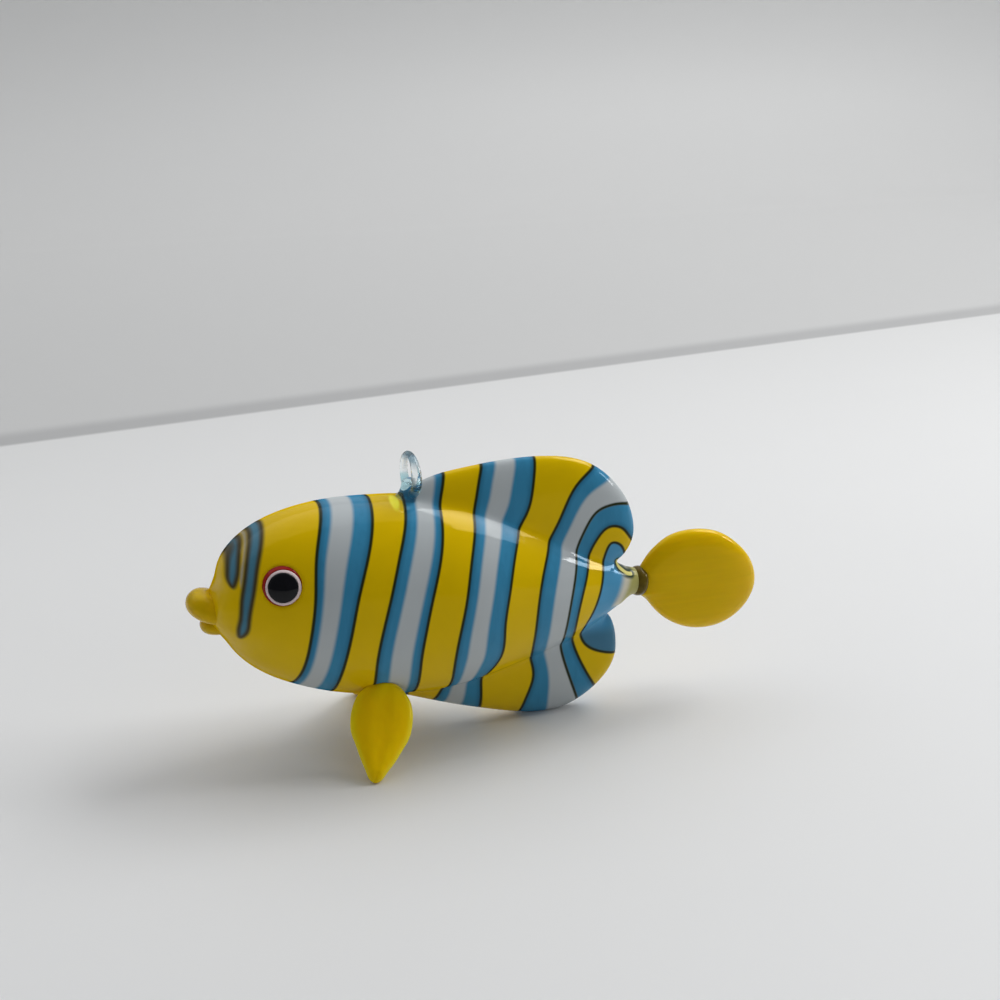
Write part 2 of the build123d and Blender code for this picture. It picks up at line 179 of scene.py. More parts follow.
camera = bpy.data.cameras.new("camera")
camera.sensor_width = 36
camera.lens = 54
camera.clip_start = 0.01
viewer = bpy.data.objects.new("camera", camera)
viewer.location = camera_place
viewer.rotation_euler = (camera_tilt, 0, camera_turn)
bpy.context.scene.collection.objects.link(viewer)
bpy.context.scene.camera = viewer
bpy.context.scene.view_settings.view_transform = "Standard"

# Body: a hollow bulb of yellow glass, blown at the torch, wrapped in trails of dark, blue and white
# glass that are melted in flush. The two lobes are pinched out of it with flat tongs while it is
# soft, and the fire leaves every surface bright.
tip = math.radians(7)
body_length = 0.0828
half_height = 0.0193
collar_length = 0.0011
stalk_lift_share = 0.12
line_width = 0.00056
line_blur = 0.00018
skin_grain = 0.00032
skin_rounds = 14
crease_rounds = 60
finishing_rounds = 5
stalk_slant = 0.31
stalk_radius = 0.0044
stalk_blur = 0.0010
stalk_pinch = 0.15
pinch_start_share, pinch_reach_share = 0.90, 0.085
snout_end = 0.016
snout_fade = 0.010
jaw_set_back, jaw_up, jaw_reach = 0.0011, -0.0072, 0.0030
brow_set_back, brow_up, brow_reach = 0.00045, 0.0025, 0.0025
caustic_place = (0.0320, -0.0019)
caustic_reach = (0.0009, 0.0027)
least_width = 0.001

collar_low, collar_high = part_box("tail_collar")
collar_middle = (collar_low + collar_high) / 2
collar_along = body_length + collar_length / 2
collar_up = stalk_lift_share * half_height
nose = Vector((collar_middle.x - collar_along * math.cos(tip) - collar_up * math.sin(tip), 0,
               collar_middle.z + collar_along * math.sin(tip) - collar_up * math.cos(tip)))

# Lines where the trails change colour, seen from the side: along the body and up by half its height
up_way, down_way, aft_way = (0, 1), (0, -1), (1, 0)
band_1_front_shares = [
    up_way,
    (0.239, 1.09), (0.222, 0.88), (0.205, 0.60), (0.203, 0.26), (0.200, -0.16), (0.196, -0.47),
    (0.185, -0.75), (0.169, -0.98),
    down_way,
]
band_1_rear_shares = [
    up_way,
    (0.338, 1.09), (0.330, 0.90), (0.314, 0.62), (0.295, 0.28), (0.285, -0.10), (0.279, -0.47),
    (0.275, -0.78), (0.272, -1.04),
    down_way,
]
band_2_front_shares = [
    up_way,
    (0.413, 1.09), (0.401, 0.88), (0.384, 0.65), (0.365, 0.28), (0.353, -0.05), (0.350, -0.41),
    (0.357, -0.68), (0.367, -1.06),
    down_way,
]
band_2_rear_shares = [
    up_way,
    (0.500, 1.32), (0.490, 1.06), (0.479, 0.71), (0.457, 0.23), (0.449, -0.10), (0.449, -0.39),
    (0.457, -0.67), (0.466, -1.11),
    down_way,
]
band_3_front_shares = [
    up_way,
    (0.588, 1.42), (0.575, 1.22), (0.565, 0.91), (0.548, 0.63), (0.535, 0.21), (0.527, -0.23),
    (0.531, -0.52), (0.539, -0.75), (0.539, -0.98), (0.522, -1.22),
    down_way,
]
band_3_rear_shares = [
    up_way,
    (0.705, 1.48), (0.700, 1.19), (0.690, 0.90), (0.658, 0.62), (0.640, 0.27), (0.636, -0.08),
    (0.643, -0.46), (0.629, -0.73), (0.635, -0.97), (0.647, -1.27),
    down_way,
]
band_4_front_shares = [
    (0.6, 1),
    (0.856, 1.37), (0.802, 1.17), (0.777, 0.92), (0.758, 0.69), (0.732, 0.46), (0.717, 0.11),
    (0.721, -0.25), (0.732, -0.51), (0.757, -0.81), (0.752, -1.05), (0.745, -1.35),
    down_way,
]
band_4_middle_shares = [
    aft_way,
    (0.965, 0.95), (0.925, 0.99), (0.891, 0.98), (0.861, 0.92), (0.841, 0.78), (0.821, 0.47),
    (0.806, 0.16), (0.803, -0.16), (0.812, -0.45), (0.838, -0.75), (0.894, -1.21),
    (0.4, -1),
]
band_4_rear_shares = [
    aft_way,
    (0.983, 0.53), (0.954, 0.65), (0.928, 0.75), (0.896, 0.76), (0.871, 0.63), (0.854, 0.41),
    (0.836, 0.16), (0.829, -0.13), (0.837, -0.36), (0.870, -0.67), (0.940, -1.08),
    (0.6, -1),
]
stalk_front_shares = [
    aft_way,
    (0.978, 0.36), (0.954, 0.45), (0.931, 0.57), (0.911, 0.59), (0.900, 0.46), (0.893, 0.28),
    (0.884, 0.10), (0.870, -0.12), (0.860, -0.32), (0.879, -0.50), (0.913, -0.58), (0.971, -0.63),
    aft_way,
]
short_drop_shares = [
    up_way,
    (0.041, 0.53), (0.031, 0.44), (0.027, 0.33), (0.030, 0.25), (0.039, 0.22), (0.046, 0.27),
    (0.051, 0.37), (0.054, 0.47), (0.065, 0.63),
    up_way,
]
long_drop_shares = [
    up_way,
    (0.076, 0.67), (0.065, 0.50), (0.059, 0.33), (0.054, 0.12), (0.053, -0.06), (0.052, -0.19),
    (0.059, -0.26), (0.068, -0.22), (0.075, -0.05), (0.081, 0.21), (0.088, 0.44), (0.099, 0.63),
    (0.107, 0.77),
    up_way,
]
brow_white_shares = [
    up_way,
    (0.065, 0.63), (0.056, 0.45), (0.051, 0.31), (0.054, 0.24), (0.059, 0.33), (0.065, 0.50),
    (0.076, 0.67),
    up_way,
]
curl_shares = [(0.938, 0.370), (0.942, 0.315), (0.953, 0.275), (0.965, 0.245), (0.976, 0.236)]
band_1_white_shares = (0.20, 0.60)
band_2_white_shares = (0.32, 0.77)
band_3_white_shares = (0.25, 0.60)
band_4_white_share = 0.47


def melt(name, nodes, grain, rounds, added=()):
    """One closed skin over some nodes and meshes, with an even grain, its small steps relaxed away."""
    whole = bmesh.new()
    for part in [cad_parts[node].data for node in nodes] + list(added):
        whole.from_mesh(part)
    mesh = bpy.data.meshes.new(name)
    whole.to_mesh(mesh)
    whole.free()
    item = bpy.data.objects.new(name, mesh)
    bpy.context.scene.collection.objects.link(item)
    modifier = item.modifiers.new("skin", "REMESH")
    modifier.mode = "VOXEL"
    modifier.voxel_size = grain
    modifier.use_smooth_shade = True
    bpy.context.view_layer.update()
    skin = bpy.data.meshes.new_from_object(item.evaluated_get(bpy.context.evaluated_depsgraph_get()))
    skin.name = name
    item.modifiers.clear()
    item.data = skin
    bpy.data.meshes.remove(mesh)
    points = get_points(skin)
    for _ in range(rounds):
        points = relax(points, skin, 0.5)
        points = relax(points, skin, -0.52)
    return item, points


def get_points(mesh):
    """The places of a mesh's points."""
    points = np.empty(3 * len(mesh.vertices))
    mesh.vertices.foreach_get("co", points)
    return points.reshape(-1, 3)


def get_edges(mesh):
    """The pairs of points that a mesh's edges join, each both ways round."""
    edges = np.empty(2 * len(mesh.edges), int)
    mesh.edges.foreach_get("vertices", edges)
    edges = edges.reshape(-1, 2)
    return np.concatenate([edges, edges[:, ::-1]])


def relax(points, mesh, share):
    """Each point moved a share of the way to the middle of its neighbours."""
    edges = get_edges(mesh)
    count = np.bincount(edges[:, 0], minlength=len(points))
    middle = np.stack([np.bincount(edges[:, 0], points[edges[:, 1], axis], len(points)) / count
                       for axis in range(3)], axis=1)
    return points + np.reshape(share, (-1, 1)) * (middle - points)


def fill_creases(item, points, rounds):
    """Glass that has flowed into the hollows of a skin, and left what stands out as it was."""
    set_points(item, points)
    normals = np.empty(3 * len(points))
    item.data.vertex_normals.foreach_get("vector", normals)
    normals = normals.reshape(-1, 3)
    smooth = points
    for _ in range(rounds):
        smooth = relax(smooth, item.data, 0.6)
    filling = np.maximum(((smooth - points) * normals).sum(axis=1), 0)[:, None]
    for _ in range(4):
        filling = relax(filling.repeat(3, axis=1), item.data, 0.6)[:, :1]
    return points + filling * normals


def set_points(item, points):
    """Puts a mesh's points in their places."""
    item.data.vertices.foreach_set("co", points.ravel())
    item.data.update()


def record_value(item, name, values):
    """Keeps a value at each point of a mesh, for its finish."""
    item.data.attributes.new(name, "FLOAT", "POINT").data.foreach_set("value", values.astype(np.float32))


def smooth_line(points, count):
    """A line of count points that runs through the given ones with an even bend."""
    points = np.array(points, float)
    steps = np.linalg.norm(np.diff(points, axis=0), axis=1)
    last = len(points) - 1
    rule = np.eye(last + 1)
    pull = np.zeros_like(points)
    for i in range(1, last):
        rule[i, i - 1:i + 2] = steps[i - 1], 2 * (steps[i - 1] + steps[i]), steps[i]
        pull[i] = 6 * ((points[i + 1] - points[i]) / steps[i] - (points[i] - points[i - 1]) / steps[i - 1])
    bends = np.linalg.solve(rule, pull)
    places = np.concatenate([[0], np.cumsum(steps)])
    at = np.linspace(0, places[-1], count)
    i = np.clip(np.searchsorted(places, at) - 1, 0, last - 1)
    step = steps[i][:, None]
    after = (at - places[i])[:, None]
    before = step - after
    return ((bends[i] * before**3 + bends[i + 1] * after**3) / (6 * step)
            + (points[i] / step - bends[i] * step / 6) * before
            + (points[i + 1] / step - bends[i + 1] * step / 6) * after)


def trail_line(shares):
    """A trail's line of the side view, run on well past the glass at both ends."""
    scale = np.array([body_length, half_height])
    line = smooth_line(np.array(shares[1:-1]) * scale, 140)
    first = line[0] + np.array(shares[0]) * body_length
    last = line[-1] + np.array(shares[-1]) * body_length
    return np.concatenate([[first], line, [last]])


def distance_left(side_view, line):
    """How far each point of the side view lies to the left of a line, looking along it."""
    nearest = np.full(len(side_view), np.inf)
    signed = np.zeros(len(side_view))
    for start, end in zip(line[:-1], line[1:]):
        run = end - start
        gap = side_view - start
        share = np.clip(gap @ run / (run @ run), 0, 1)
        off = gap - share[:, None] * run
        distance = np.hypot(off[:, 0], off[:, 1])
        side = np.where(run[0] * gap[:, 1] - run[1] * gap[:, 0] < 0, -1, 1)
        closer = distance < nearest - 1e-9
        nearest[closer] = distance[closer]
        signed[closer] = (side * distance)[closer]
    return signed


def from_body(along, across, up):
    """A place given along the body's own axis, across it and up from it."""
    return np.array([nose.x + along * math.cos(tip) + up * math.sin(tip), across,
                     nose.z - along * math.sin(tip) + up * math.cos(tip)])


def body_place(points):
    """Places along the body's own axis, across it and up from it."""
    along, up = points[:, 0] - nose.x, points[:, 2] - nose.z
    return (along * math.cos(tip) - up * math.sin(tip), points[:, 1],
            along * math.sin(tip) + up * math.cos(tip))


melted = [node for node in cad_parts
          if node.startswith(("body_shell", "band_", "brow_")) or node in ("stalk_dark", "stalk_blue")]
body, skin_points = melt("glass_body", melted, skin_grain, skin_rounds)
skin_points = fill_creases(body, skin_points, crease_rounds)
for _ in range(finishing_rounds):
    skin_points = relax(skin_points, body.data, 0.5)
    skin_points = relax(skin_points, body.data, -0.52)
# The flame has let the jaw and the brow sink back a little, and the end of the stalk is drawn in
along, across, up = body_place(skin_points)
on_snout = np.clip((snout_end - along) / snout_fade, 0, 1)
along = along + on_snout * (jaw_set_back * np.exp(-((up - jaw_up) / jaw_reach)**2)
                            + brow_set_back * np.exp(-((up - brow_up) / brow_reach)**2))
drawn = np.clip((along / body_length - pinch_start_share) / pinch_reach_share, 0, 1)
on_axis = np.clip((stalk_radius - np.hypot(across, up - collar_up)) / stalk_blur, 0, 1)
shrink = 1 - stalk_pinch * drawn**2 * (3 - 2 * drawn) * on_axis
skin_points = from_body(along, across * shrink, collar_up + (up - collar_up) * shrink).T
skin_points[:, 2] = np.maximum(skin_points[:, 2], 0)
set_points(body, skin_points)

along, across, up = body_place(skin_points)
side_view = np.stack([along, up], axis=1)
bands = [(band_1_front_shares, band_1_rear_shares, band_1_white_shares),
         (band_2_front_shares, band_2_rear_shares, band_2_white_shares),
         (band_3_front_shares, band_3_rear_shares, band_3_white_shares)]
stripe_gap = np.full(len(along), -1.0)
milk_gap = np.full(len(along), -1.0)
for front_shares, rear_shares, white_shares in bands:
    behind_front = distance_left(side_view, trail_line(front_shares))
    before_rear = -distance_left(side_view, trail_line(rear_shares))
    inside = np.minimum(behind_front, before_rear)
    stripe_gap = np.where(np.abs(inside) < np.abs(stripe_gap), inside, np.maximum(stripe_gap, inside))
    width = np.maximum(behind_front + before_rear, least_width)
    start, end = white_shares
    milk = np.minimum(behind_front - start * width, end * width - behind_front)
    milk_gap = np.maximum(milk_gap, milk)
behind_front = distance_left(side_view, trail_line(band_4_front_shares))
before_middle = -distance_left(side_view, trail_line(band_4_middle_shares))
before_rear = -distance_left(side_view, trail_line(band_4_rear_shares))
in_stalk = distance_left(side_view, trail_line(stalk_front_shares))
inside = np.minimum(behind_front, before_rear)
for gap in (inside, in_stalk):
    stripe_gap = np.where(np.abs(gap) < np.abs(stripe_gap), gap, np.maximum(stripe_gap, gap))
width = np.maximum(behind_front + before_middle, least_width)
milk_gap = np.maximum(milk_gap, np.minimum(behind_front - band_4_white_share * width, before_middle))
record_value(body, "stripe_gap", stripe_gap)
record_value(body, "milk_gap", milk_gap)
record_value(body, "middle_gap", before_middle)
record_value(body, "stalk_gap", in_stalk)
drop_gap = np.maximum(distance_left(side_view, trail_line(short_drop_shares)),
                      distance_left(side_view, trail_line(long_drop_shares)))
record_value(body, "drop_gap", drop_gap)
record_value(body, "brow_gap", distance_left(side_view, trail_line(brow_white_shares)))
curl_line = smooth_line(np.array(curl_shares) * (body_length, half_height), 40)
record_value(body, "curl_gap", np.abs(distance_left(side_view, curl_line)))
record_value(body, "end_share", (along - stalk_slant * (up - collar_up)) / body_length)
record_value(body, "height", up)
# Painted light: a bright yellow spot on the back, just before the foot of the loop, where light that
# passes through the clear foot gathers on the yellow glass.
from_spot = np.hypot((along - caustic_place[0]) / caustic_reach[0],
                     (across - caustic_place[1]) / caustic_reach[1])
record_value(body, "painted_caustic", np.exp(-from_spot**2) * (up > 0))

yellow_colour = (0.815, 0.54, 0.001)
blue_colour = (0.046, 0.25, 0.43)
deep_blue_colour = (0.032, 0.18, 0.32)
milk_colour = (0.505, 0.54, 0.55)
line_colour = (0.022, 0.028, 0.008)
drop_colour = (0.07, 0.21, 0.30)
drop_edge_colour = (0.07, 0.055, 0.020)
brow_colour = (0.40, 0.41, 0.38)
stalk_colour = (0.085, 0.32, 0.54)
bulb_blue_colour = (0.06, 0.18, 0.28)
pale_end_colour = (0.66, 0.62, 0.50)
clear_end_colour = (0.42, 0.39, 0.13)
curl_colour = (0.75, 0.68, 0.22)
curl_edge_colour = (0.035, 0.060, 0.040)
caustic_colour = (1.0, 0.88, 0.04)


def fire_polished(shader, roughness=0.05, level=0.42):
    """The bright bare surface that the flame leaves on glass."""
    shader.inputs["Roughness"].default_value = roughness
    shader.inputs["IOR"].default_value = 1.52
    shader.inputs["Specular IOR Level"].default_value = level


def colour_gloss(tree, shader, colour):
    """What shows in the surface takes on the colour of the glass, as it does on deep clear colour."""
    tint = blend_colours(tree, 0.88, (1, 1, 1), colour)
    tree.links.new(tint, shader.inputs["Specular Tint"])


def kept_value(tree, name):
    """A value kept at the points of the mesh."""
    return add_node(tree, "Attribute", attribute_name=name).outputs["Fac"]


def lined(tree, gap, colour):
    """Lays a dark line over a colour where the gap is small."""
    far = add_node(tree, "Math", {0: gap}, operation="ABSOLUTE").outputs[0]
    share = rise(tree, far, line_width / 2 + line_blur, line_width / 2 - line_blur)
    return blend_colours(tree, share, colour, line_colour)


def both(tree, first, second):
    """Two shares of 0 to 1 multiplied."""
    return add_node(tree, "Math", {0: first, 1: second}, operation="MULTIPLY").outputs[0]


skin_finish, tree, shader = new_finish("striped_skin")
fire_polished(shader)
stripe = kept_value(tree, "stripe_gap")
milk = kept_value(tree, "milk_gap")
middle = kept_value(tree, "middle_gap")
stalk = kept_value(tree, "stalk_gap")
drop = kept_value(tree, "drop_gap")
brow = kept_value(tree, "brow_gap")
curl = kept_value(tree, "curl_gap")
end_share = kept_value(tree, "end_share")
height = kept_value(tree, "height")
painted_caustic = kept_value(tree, "painted_caustic")
clouds = mottle(tree, 0.006)
streaks = mottle(tree, 0.0012, (1, 1, 8))
yellow = blend_colours(tree, clouds, yellow_colour, [0.90 * c for c in yellow_colour])
# Painted light: the gathered light beside the loop's foot, laid on the yellow as a brighter colour.
yellow = blend_colours(tree, rise(tree, painted_caustic, 0.20, 0.65), yellow, caustic_colour)
near_line = rise(tree, stripe, 0.0013, 0.0003)
blue = blend_colours(tree, near_line, blue_colour, deep_blue_colour)
blue = blend_colours(tree, both(tree, rise(tree, streaks, 0.40, 0.80), 0.35), blue, deep_blue_colour)
blue = blend_colours(tree, rise(tree, milk, -0.0005, 0.00040), blue, milk_colour)
trunk = blend_colours(tree, rise(tree, height, -0.0050, -0.0085), stalk_colour, bulb_blue_colour)
on_stalk = rise(tree, height, -0.0022, -0.0010)
pale_share = both(tree, on_stalk, rise(tree, end_share, 0.933, 0.955))
clear_share = both(tree, on_stalk, rise(tree, end_share, 0.955, 0.975))
trunk = blend_colours(tree, pale_share, trunk, pale_end_colour)
trunk = blend_colours(tree, clear_share, trunk, clear_end_colour)
trunk = blend_colours(tree, rise(tree, curl, 0.0010, 0.0004), trunk, curl_edge_colour)
trunk = blend_colours(tree, rise(tree, curl, 0.00034, 0.00018), trunk, curl_colour)
blue = blend_colours(tree, rise(tree, stalk, -0.0002, 0.0002), blue, trunk)
glass = blend_colours(tree, rise(tree, stripe, -0.0001, 0.0001), yellow, blue)
glass = lined(tree, stripe, glass)
glass = lined(tree, middle, glass)
glass = blend_colours(tree, rise(tree, brow, -0.0002, 0.0005), glass, brow_colour)
glass = blend_colours(tree, rise(tree, drop, -0.0005, 0.0002), glass, drop_edge_colour)
glass = blend_colours(tree, rise(tree, drop, 0.0002, 0.0009), glass, drop_colour)
tree.links.new(glass, shader.inputs["Base Color"])
colour_gloss(tree, shader, glass)
facing = add_node(tree, "LayerWeight", {"Blend": 0.5}).outputs["Facing"]
rim_level = both(tree, rise(tree, end_share, 0.60, 0.85), 0.05)
level = add_node(tree, "Math", {0: rise(tree, facing, 0.80, 0.34), 1: 0.41, 2: rim_level},
                 operation="MULTIPLY_ADD")
tree.links.new(level.outputs[0], shader.inputs["Specular IOR Level"])
body.data.materials.append(skin_finish)
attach(body, "root")
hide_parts(*melted)

# Eyes: three drops of glass pressed on the head one on the other, red, white and black, each a little
# off the middle of the last. The fire has rounded their rims and left them domed.
dot_grain = 0.00012
dot_rounds = 5
dot_colours = {"red": (0.36, 0.012, 0.008), "white": (0.80, 0.66, 0.66), "pupil": (0.006, 0.006, 0.008)}
dot_depth = {"red": 0.7, "white": 0.85, "pupil": 0.4}
dot_slots = {"red": "red_glass", "white": "white_glass", "pupil": "black_glass"}


def melted_glass(name, colour, variation, size, stretch=(1, 1, 1), roughness=0.05, waves=0.0,
                 tinted_gloss=True):
    """Bright coloured glass with soft streaks of its own, and a wavy surface where it has waves."""
    finish, tree, shader = new_finish(name)
    fire_polished(shader, roughness)
    streaks = mottle(tree, size, stretch)
    shade = blend_colours(tree, streaks, colour, [variation * c for c in colour])
    tree.links.new(shade, shader.inputs["Base Color"])
    if tinted_gloss:
        colour_gloss(tree, shader, shade)
    if waves:
        bump = add_node(tree, "Bump", {"Height": streaks, "Strength": 1.0, "Distance": waves})
        tree.links.new(bump.outputs[0], shader.inputs["Normal"])
    return finish, shader


def let_light_in(shader, reach):
    """Light spreads under the surface, furthest the red and least the blue."""
    shader.inputs["Subsurface Weight"].default_value = 0.5
    shader.inputs["Subsurface Scale"].default_value = reach
    shader.inputs["Subsurface Radius"].default_value = (1.0, 0.75, 0.1)


def dress(item, finish, slot, *nodes):
    """Puts a finish on a piece that stands for some nodes."""
    item.data.materials.append(finish)
    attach(item, "root")
    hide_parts(*nodes)


dot_finishes = {}
for dot, colour in dot_colours.items():
    dot_finishes[dot], shader = melted_glass(f"{dot}_dot", colour, dot_depth[dot], 0.0012,
                                             tinted_gloss=dot != "pupil")
    if dot == "pupil":
        shader.inputs["Specular IOR Level"].default_value = 0.2
for side in ("left", "right"):
    for dot, slot in dot_slots.items():
        node = f"{side}_eye_{dot}"
        item, points = melt(f"melted_{node}", [node], dot_grain, dot_rounds)
        set_points(item, points)
        dress(item, dot_finishes[dot], slot, node)

# Lips: two rods of amber glass, bent round and stuck on the nose while hot. Each is thick in the
# middle and sinks into the face at both ends.
lip_rings = 41
lip_turns = 28
lip_taper_share = 0.42
lip_end_share = 0.12
lip_colour = (1.0, 0.68, 0.004)
lips = {
    "upper_lip": ([(0.0026, -0.0034, -0.0031), (-0.0004, -0.0021, -0.0018), (-0.00150, 0, -0.0014),
                   (-0.0004, 0.0021, -0.0018), (0.0026, 0.0034, -0.0031)], 0.00250),
    "lower_lip": ([(0.0034, -0.0027, -0.0053), (0.0012, -0.0015, -0.0054), (0.0004, 0, -0.0056),
                   (0.0012, 0.0015, -0.0054), (0.0034, 0.0027, -0.0053)], 0.00165),
}


def tube_faces(rings, turns):
    """The faces of a tube of rings, closed at both ends."""
    faces = []
    for ring in range(rings - 1):
        here, there = ring * turns, (ring + 1) * turns
        for turn in range(turns):
            after = (turn + 1) % turns
            faces.append((here + turn, here + after, there + after, there + turn))
    faces.append(tuple(reversed(range(turns))))
    faces.append(tuple(range((rings - 1) * turns, rings * turns)))
    return faces


def glass_rod(name, line, radii, turns):
    """A rod along a line, with a radius at each of its points."""
    runs = np.gradient(line, axis=0)
    points = []
    for place, run, radius in zip(line, runs, radii):
        run = run / np.linalg.norm(run)
        side = np.cross(run, (1, 0, 0))
        side = side / np.linalg.norm(side)
        over = np.cross(run, side)
        for turn in np.linspace(0, 2 * math.pi, turns, endpoint=False):
            points.append(place + radius * (math.cos(turn) * side + math.sin(turn) * over))
    return add_mesh(name, points, tube_faces(len(line), turns))


axis_way = from_body(1, 0, 0) - from_body(0, 0, 0)
lift_way = from_body(0, 0, 1) - from_body(0, 0, 0)
lip_finish, shader = melted_glass("amber_rod", lip_colour, 0.8, 0.0016, roughness=0.10, waves=0.00005)
shader.inputs["Transmission Weight"].default_value = 0.35
for node, (points, radius) in lips.items():
    line = smooth_line([from_body(*p) for p in points], lip_rings)
    share = np.linspace(-1, 1, lip_rings)
    radii = radius * (1 - lip_taper_share * share**2) * np.clip(1 - share**14, lip_end_share, 1)
    item = glass_rod(f"melted_{node}", line, radii, lip_turns)
    dress(item, lip_finish, "amber_glass", node)

# Hanging loop: a ring of clear glass cane across the back, drawn from a clear gather that flares
# where it is melted on.
loop_grain = 0.00013
loop_rounds = 8
loop_crease_rounds = 24
loop_radius = 0.00337
loop_set_back = 0.0005
loop_turn = math.radians(6)
cane_radius = 0.00098
top_thinning_share, side_thinning_share = 0.30, 0.24
ring_turns = 96
cane_turns = 28
foot_turns = 64
foot_drop = 0.00870
foot_profile = [(0.00262, -0.00070), (0.00255, -0.00015), (0.00215, 0.00030), (0.00180, 0.00090),
                (0.00160, 0.00170), (0.00150, 0.00260), (0.00125, 0.00325), (0.00070, 0.00365)]
cane_colour = (0.97, 0.99, 0.99)
cane_streak_colour = (0.90, 0.96, 0.97)
loop_top_refraction_colour = (0.22, 0.37, 0.46)
loop_foot_refraction_colour = (0.46, 0.72, 0.78)

loop_finish, tree, shader = new_finish("clear_cane")
fire_polished(shader, roughness=0.0, level=0.5)
shader.inputs["Transmission Weight"].default_value = 1.0
ring_low, ring_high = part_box("hanging_loop")
waver = mottle(tree, 0.0009)
place = add_node(tree, "TexCoord").outputs["Object"]
level = add_node(tree, "SeparateXYZ", {0: place}).outputs["Z"]
# Painted refraction: the top of the ring is painted dark blue-grey and the foot teal, for what is seen
# through the clear glass there.
near_top = rise(tree, level, ring_high.z - 0.0026, ring_high.z - 0.0008)
near_foot = rise(tree, level, ring_high.z - 0.0046, ring_high.z - 0.0058)
clear = blend_colours(tree, waver, cane_colour, cane_streak_colour)
clear = blend_colours(tree, near_top, clear, loop_top_refraction_colour)
clear = blend_colours(tree, near_foot, clear, loop_foot_refraction_colour)
tree.links.new(clear, shader.inputs["Base Color"])
bump = add_node(tree, "Bump", {"Height": waver, "Strength": 1.0, "Distance": 0.00010})
tree.links.new(bump.outputs[0], shader.inputs["Normal"])


def hoop_faces(turns, rolls):
    """The faces of a closed ring of rings."""
    faces = []
    for turn in range(turns):
        here, there = turn * rolls, (turn + 1) % turns * rolls
        for roll in range(rolls):
            after = (roll + 1) % rolls
            faces.append((here + roll, there + roll, there + after, here + after))
    return faces


straight_up = np.array([0, 0, 1])
sideways = np.array([0, 1, 0])
loop_along = (ring_low.x + ring_high.x) / 2
ring_middle = np.array([loop_along + loop_set_back, 0, ring_high.z - loop_radius - cane_radius])
ring_out = np.array([math.cos(loop_turn), math.sin(loop_turn), 0])
ring_across = np.array([-ring_out[1], ring_out[0], 0])
places = []
for turn in np.linspace(0, 2 * math.pi, ring_turns, endpoint=False):
    out = math.cos(turn) * ring_across + math.sin(turn) * straight_up
    at_top, at_side = max(math.sin(turn), 0), max(math.cos(turn), 0)
    cane = cane_radius * (1 - top_thinning_share * at_top**2 - side_thinning_share * at_side**2)
    for roll in np.linspace(0, 2 * math.pi, cane_turns, endpoint=False):
        reach = loop_radius + cane_radius - cane + cane * math.cos(roll)
        places.append(ring_middle + reach * out + cane * math.sin(roll) * ring_out)
ring = bpy.data.meshes.new("loop_ring")
ring.from_pydata([tuple(p) for p in places], [], hoop_faces(ring_turns, cane_turns))
foot_middle = np.array([loop_along, 0, ring_high.z - foot_drop])
places = []
for radius, height_up in foot_profile:
    for turn in np.linspace(0, 2 * math.pi, foot_turns, endpoint=False):
        out = math.cos(turn) * axis_way + math.sin(turn) * sideways
        places.append(foot_middle + radius * out + height_up * lift_way)
foot = bpy.data.meshes.new("loop_foot")
foot.from_pydata([tuple(p) for p in places], [], tube_faces(len(foot_profile), foot_turns))
loop, points = melt("melted_loop", [], loop_grain, loop_rounds, [ring, foot])
bpy.data.meshes.remove(ring)
bpy.data.meshes.remove(foot)
points = fill_creases(loop, points, loop_crease_rounds)
set_points(loop, points)
dress(loop, loop_finish, "clear_glass", "hanging_loop")

# Belly fins: two leaves of yellow glass pressed flat in the tongs, melted on under the flanks and
# splayed outwards. The fish stands on their rounded tips.
fin_rings = 72
fin_turns = 56
fin_half_width = 0.0059
fin_half_thickness = 0.0020
fin_thickness_shares = (1.25, 0.80)
fin_edge_width = 0.002
fin_edge_share = 0.05
fin_groove_share, fin_groove_reach_share = 0.16, 0.28
fin_colour = (1.0, 0.66, 0.002)
fin_rim_light_colour = (1.0, 0.74, 0.008)
fin_profile = [(0.0, 0.20), (0.04, 0.46), (0.11, 0.70), (0.22, 0.91), (0.34, 0.985), (0.48, 0.965),
               (0.63, 0.78), (0.78, 0.545), (0.90, 0.325), (0.97, 0.195), (1.0, 0.05)]
fin_lines = {
    "left_belly_fin": [(-0.02170, -0.0088, 0.01570), (-0.0228, -0.0102, 0.0120),
                       (-0.0240, -0.0125, 0.0072), (-0.02650, -0.0179, 0.0003)],
    "right_belly_fin": [(-0.0199, 0.0080, 0.0150), (-0.0203, 0.0096, 0.0120),
                        (-0.0210, 0.0121, 0.0072), (-0.02251, 0.0170, 0.0003)],
}
fin_finish, shader = melted_glass("leaf_yellow", fin_colour, 0.88, 0.0013, (1, 1, 7), waves=0.00006)
tree = fin_finish.node_tree
inner_colour = shader.inputs["Base Color"].links[0].from_socket
# Painted light: both rims of a fin are painted a lighter yellow, for the light that gathers in the glass
# at its edges.
at_rim = rise(tree, kept_value(tree, "rim"), 0.72, 0.98)
tree.links.new(blend_colours(tree, at_rim, inner_colour, fin_rim_light_colour), shader.inputs["Base Color"])
let_light_in(shader, 0.0035)
profile = smooth_line(fin_profile, 400)
widths = fin_half_width * np.interp(np.linspace(0, 1, fin_rings), profile[:, 0], profile[:, 1])
thicknesses = fin_half_thickness * np.minimum(np.linspace(*fin_thickness_shares, fin_rings), 1)
thicknesses *= np.clip(widths / fin_edge_width, fin_edge_share, 1)
around = np.linspace(0, 2 * math.pi, fin_turns, endpoint=False)
